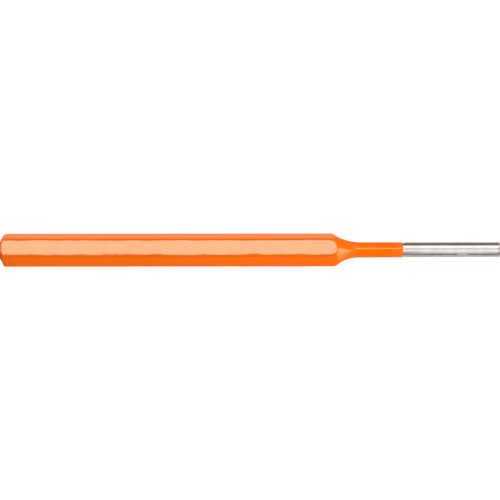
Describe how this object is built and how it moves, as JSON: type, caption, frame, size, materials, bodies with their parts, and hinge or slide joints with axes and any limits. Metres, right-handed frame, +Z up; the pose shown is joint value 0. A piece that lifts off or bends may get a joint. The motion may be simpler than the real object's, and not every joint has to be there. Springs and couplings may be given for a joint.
{
  "type": "pin punch",
  "caption": "Parallel pin punch turned from hexagon bar, with a crowned head to strike, a radiused neck and a bright drive pin, under gloss lacquer.",
  "frame": {"origin": "middle of the tool's box, on the flat of the hexagon that it lies on", "axes": "+X along the tool from the struck head to the tip of the pin, +Z up"},
  "size_m": [0.17, 0.0114, 0.0101],
  "materials": {
    "bright_steel": "satin",
    "orange_lacquer": "gloss"
  },
  "bodies": {
    "root": {"steel_punch": "bright_steel", "lacquer_coat": "orange_lacquer"}
  },
  "joints": []
}
